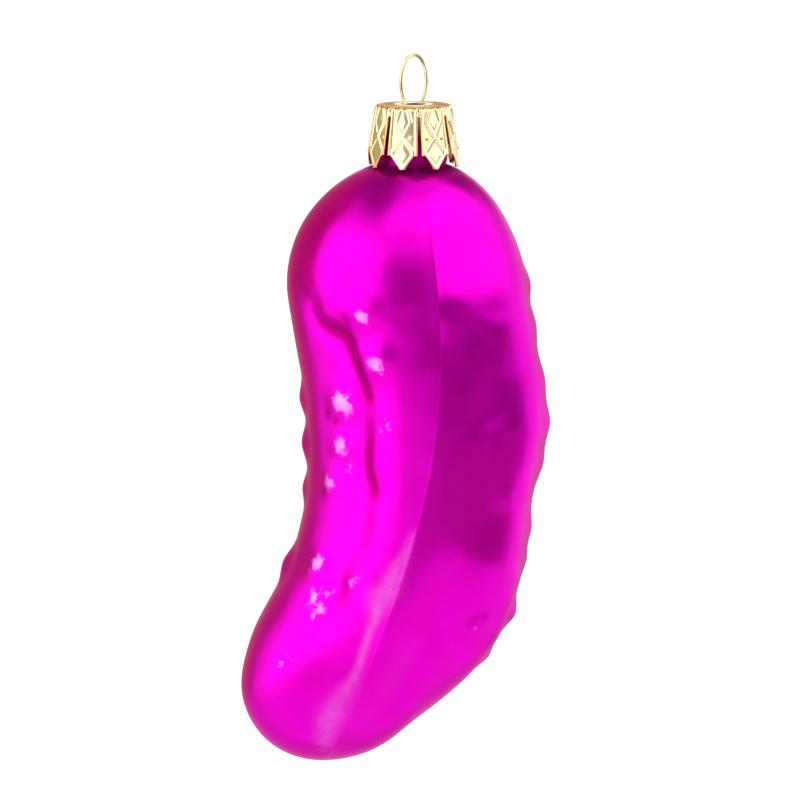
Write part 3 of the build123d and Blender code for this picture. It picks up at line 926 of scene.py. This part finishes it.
def petalSector():  # an eighth of the cap: top plate, pleated shoulder and one embossed petal
    s = capSizes
    earShare = 1 - s["earWidth"] / float(petalHalf(capHeight))
    inner = np.linspace(-earShare, earShare, s["petalColumns"])
    outer = np.linspace(earShare, 1, s["earColumns"] + 1)[1:]
    shares = np.concatenate([-outer[::-1], inner, outer])
    slitRadius = s["radius"] + s["flare"] * s["slitStart"] / capHeight
    edgeTurn = math.asin(s["petalWidth"] / 2 / slitRadius)
    sectorTurn = math.pi / s["petals"]
    turns = [-sectorTurn, *(shares * edgeTurn), sectorTurn]
    columns = len(turns)
    section = capSection()
    points = []
    recess = []
    index = {}
    for row, (radius, v, facing) in enumerate(section):
        whole = v <= s["slitStart"] + tiny  # above the slits
        skip = 0 if whole else 1
        if v > earDepth + tiny:
            skip += s["earColumns"]
        for column in range(skip, columns - skip):
            if whole:
                u = radius * math.sin(turns[column])
                out = radius * math.cos(turns[column])
                nearEdge = 0.0
            else:
                u, out, nearEdge = petalPlace(radius, v, shares[column - 1], earShare)
            wave = pleatWave(math.atan2(u, out))
            pleated = float(fade(radius, *s["pleatStart"]) * (1 - fade(v, *s["pleatEnd"])))
            lift = float(petalEmboss(np.array(u), np.array(v))) - s["pleatDepth"] * wave * pleated
            z = capTop - v + lift * math.sin(facing)
            points.append((u, -out - lift * math.cos(facing), z))
            # brown tone on the plate and by the edges, painted shade on the sheet between the ribs and in the
            # pleats
            stain = s["plateBrown"]
            if v > s["pleatEnd"][1]:
                stain = s["sheetShade"] * (1 - min(max(lift / s["ribHeight"], 0), 1))
            stain = max(stain, s["edgeBrown"] * nearEdge)
            stain += pleated * (s["bendStain"] + s["pleatShade"] * wave)
            recess.append(min(stain, 1))
            index[(row, column)] = len(points) - 1
    faces = []
    for row in range(len(section) - 1):
        for column in range(columns - 1):
            corners = [(row, column), (row + 1, column), (row + 1, column + 1), (row, column + 1)]
            if all(corner in index for corner in corners):
                faces.append([index[corner] for corner in corners])
    return meshObject("crownCap", points, faces, {"recess": recess})


def crownTree():  # repeats the sector round the axis and welds it
    tree, idOf = newTree("crownOfPetals", [
        ("Geometry", "Geometry"), ("Petals", "Int"), ("Turn", "Float"), ("Weld", "Float"),
        ("Finish", "Material"),
    ])
    given = addNode(tree, "NodeGroupInput").outputs
    places = addNode(tree, "GeometryNodePoints", Count=given["Petals"]).outputs[0]
    order = addNode(tree, "GeometryNodeInputIndex").outputs[0]
    step = reckon(tree, "DIVIDE", 2 * math.pi, given["Petals"])
    angle = reckon(tree, "ADD", reckon(tree, "MULTIPLY", order, step), given["Turn"])
    spin = addNode(tree, "ShaderNodeCombineXYZ", Z=angle).outputs[0]
    turned = addNode(tree, "FunctionNodeEulerToRotation", i0=spin).outputs[0]
    copies = addNode(
        tree, "GeometryNodeInstanceOnPoints", Points=places, Instance=given["Geometry"], Rotation=turned
    )
    real = addNode(tree, "GeometryNodeRealizeInstances", Geometry=copies.outputs[0]).outputs[0]
    welded = addNode(tree, "GeometryNodeMergeByDistance", Geometry=real, Distance=given["Weld"])
    endTree(tree, welded.outputs[0], given["Finish"])
    return tree, idOf


def makeCap():
    s = capSizes
    made = petalSector()
    tree, idOf = crownTree()
    useTree(made, tree, idOf, {
        "Petals": s["petals"], "Turn": math.radians(s["turn"]), "Weld": s["weld"] * mm, "Finish": gilding,
    })
    wall = made.modifiers.new("sheet", "SOLIDIFY")
    wall.thickness = s["sheet"] * mm
    wall.offset = -1.0
    wall.use_even_offset = True
    bakeModifiers(made)
    return made


crownCap = makeCap()
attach(crownCap, "cap")
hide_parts("crown_cap")


# hanger wire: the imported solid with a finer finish
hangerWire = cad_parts["hanger_wire"]
hangerWire.data.materials.clear()
hangerWire.data.materials.append(brass)
print("hanger wire finished")


# stage, light and camera

stageSizes = {
    "centre": Vector((-0.002, 0.0, -0.055)),
    "floorHeight": -0.45,
    "floorHalf": 14.0,
    "floorTone": 0.86,
    "floorGlow": 0.62,  # added where the camera or a reflection sees the floor
    "roomLight": 0.5,
    "roomSeen": 1.0,  # the room's strength for the camera and for reflections
    "cardSteps": 32,
}
# cards that only reflections see, the low ones above the floor all round:
# azimuths, elevations, soft widths of the sides, bottom and top, tone, distance from the centre
cards = {
    "frontCard": ((-29, 31), (-9.5, 42), (18, 6, 18), (0.39, 0.35, 0.35), 0.3),
    "rightUpperCard": ((12, 112), (-11, 7), (26, 5, 5), (0.20, 0.18, 0.18), 0.6),
    "rightLowerCard": ((12, 118), (-31, -6), (26, 8, 7), (0.46, 0.38, 0.36), 0.62),
    "backLeftTopCard": ((-172, -79), (-1, 72), (14, 14, 14), (0.48, 0.42, 0.21), 0.08),
    "topCard": ((-210, -30), (50, 90), (14, 14, 14), (0.30, 0.25, 0.23), 0.6),
    "topBackCard": ((-215, -104), (34, 66), (12, 12, 12), (0.30, 0.25, 0.23), 0.62),
    "backLeftCard": ((-170, -110), (-34, 28), (12, 12, 12), (0.50, 0.46, 0.26), 0.6),
    "backRimCard": ((-205, -155), (-40, 2), (10, 10, 10), (0.50, 0.46, 0.26), 0.6),
    "backRightCard": ((140, 184), (-36, 8), (10, 10, 10), (0.66, 0.62, 0.52), 0.61),
    "backRightTopCard": ((126, 166), (6, 70), (12, 12, 12), (0.72, 0.66, 0.63), 0.6),
    "shoulderCard": ((135, 176), (13, 68), (14, 8, 16), (0.30, 0.27, 0.21), 0.58),
    "shoulderTopCard": ((118, 172), (32, 66), (14, 8, 10), (0.24, 0.21, 0.17), 0.56),
    "floorCard": ((-112, 128), (-89, -22), (10, 1, 10), (0.97, 0.94, 0.97), 0.36),
    "underCard": ((117, 260), (-89, -18), (12, 1, 12), (0.72, 0.66, 0.63), 0.35),
}
# soft lights: azimuth, elevation, distance, width and height, watts
softboxes = {
    "leftSoftbox": (-63, 15, 0.9, (1.4, 1.05), 2.9),
    "rightSoftbox": (74, 38, 0.9, (1.45, 1.15), 2.4),
    "topSoftbox": (18, 63, 0.9, (0.9, 0.4), 0.4),
}


def rayKind(tree):  # 1 for camera, glossy and transmission rays
    rays = addNode(tree, "ShaderNodeLightPath").outputs
    seen = reckon(tree, "MAXIMUM", rays["Is Camera Ray"], rays["Is Glossy Ray"])
    return reckon(tree, "MAXIMUM", seen, rays["Is Transmission Ray"])


def setSurface(tree, shader, surface):  # takes the plain shader's place
    tree.nodes.remove(shader)
    tree.links.new(surface, tree.nodes["Material Output"].inputs["Surface"])


def floorFinish():
    made, tree, shader = newMaterial("paleFloor")
    tone = stageSizes["floorTone"]
    chalk = addNode(tree, "ShaderNodeBsdfDiffuse", Color=(tone, tone, tone, 1))
    strength = reckon(tree, "MULTIPLY", rayKind(tree), stageSizes["floorGlow"])
    glow = addNode(tree, "ShaderNodeEmission", Color=(1, 1, 1, 1), Strength=strength)
    both = addNode(tree, "ShaderNodeAddShader", i0=chalk.outputs[0], i1=glow.outputs[0])
    setSurface(tree, shader, both.outputs[0])
    return made


def cardFinish(name, tone):
    made, tree, shader = newMaterial(name)
    clear = addNode(tree, "ShaderNodeBsdfTransparent").outputs[0]
    glow = addNode(tree, "ShaderNodeEmission", Color=(*tone, 1), Strength=1.0).outputs[0]
    mixed = addNode(tree, "ShaderNodeMixShader", i0=pointMark(tree, "solid"), i1=clear, i2=glow)
    setSurface(tree, shader, mixed.outputs[0])
    return made


def directionOf(azimuth, elevation):  # azimuth 0 is towards the camera, positive to its right
    a = math.radians(azimuth)
    e = math.radians(elevation)
    return Vector((math.sin(a) * math.cos(e), -math.cos(a) * math.cos(e), math.sin(e)))


def addCard(name, azimuths, elevations, soft, tone, distance):
    steps = stageSizes["cardSteps"]
    left, right = azimuths
    bottom, top = elevations
    points = []
    solid = []
    for azimuth in np.linspace(left, right, steps + 1):
        for elevation in np.linspace(bottom, top, steps + 1):
            spot = stageSizes["centre"] + directionOf(azimuth, elevation) * distance
            points.append(tuple(spot / mm))
            inSides = fade(min(azimuth - left, right - azimuth), 0, soft[0])
            inHeight = fade(elevation - bottom, 0, soft[1]) * fade(top - elevation, 0, soft[2])
            solid.append(inSides * inHeight)
    faces = []
    for i in range(steps):
        for j in range(steps):
            k = i * (steps + 1) + j
            faces.append((k, k + 1, k + steps + 2, k + steps + 1))
    made = meshObject(name, points, faces, {"solid": solid})
    made.data.materials.append(cardFinish(name, tone))
    made.visible_camera = False
    made.visible_diffuse = False
    made.visible_shadow = False


def addSoftbox(name, azimuth, elevation, distance, size, power):
    data = bpy.data.lights.new(name, "AREA")
    data.shape = "RECTANGLE"
    data.size, data.size_y = size
    data.energy = power
    made = bpy.data.objects.new(name, data)
    scene.collection.objects.link(made)
    made.location = stageSizes["centre"] + directionOf(azimuth, elevation) * distance
    made.rotation_euler = (stageSizes["centre"] - made.location).to_track_quat("-Z", "Y").to_euler()
    made.visible_camera = False


def makeRoom():  # a pale floor in a white room
    s = stageSizes
    h = s["floorHalf"] / mm
    z = s["floorHeight"] / mm
    floor = meshObject("floor", [(-h, -h, z), (h, -h, z), (h, h, z), (-h, h, z)], [(0, 1, 2, 3)])
    floor.data.materials.append(floorFinish())
    world = bpy.data.worlds.new("paleRoom")
    scene.world = world
    world.use_nodes = True
    tree = world.node_tree
    background = tree.nodes["Background"]
    background.inputs["Color"].default_value = (1, 1, 1, 1)
    brighter = reckon(tree, "MULTIPLY", rayKind(tree), s["roomSeen"] - s["roomLight"])
    strength = reckon(tree, "ADD", brighter, s["roomLight"])
    tree.links.new(strength, background.inputs["Strength"])


cameraSizes = {
    "aim": Vector((-2.05, 0.0, -52.2)) * mm,
    "elevation": 8.5,
    "distance": 0.9,
    "fieldWidth": 0.1213,  # metres across the picture at the ornament
    "sensor": 36.0,
}


def makeCamera():
    s = cameraSizes
    data = bpy.data.cameras.new("photoCamera")
    data.sensor_width = s["sensor"]
    data.lens = s["sensor"] * s["distance"] / s["fieldWidth"]
    made = bpy.data.objects.new("photoCamera", data)
    scene.collection.objects.link(made)
    made.location = s["aim"] + directionOf(0, s["elevation"]) * s["distance"]
    made.rotation_euler = (s["aim"] - made.location).to_track_quat("-Z", "Y").to_euler()
    scene.camera = made


makeRoom()
for name, values in cards.items():
    addCard(name, *values)
for name, values in softboxes.items():
    addSoftbox(name, *values)
makeCamera()
print("stage, lights and camera set")
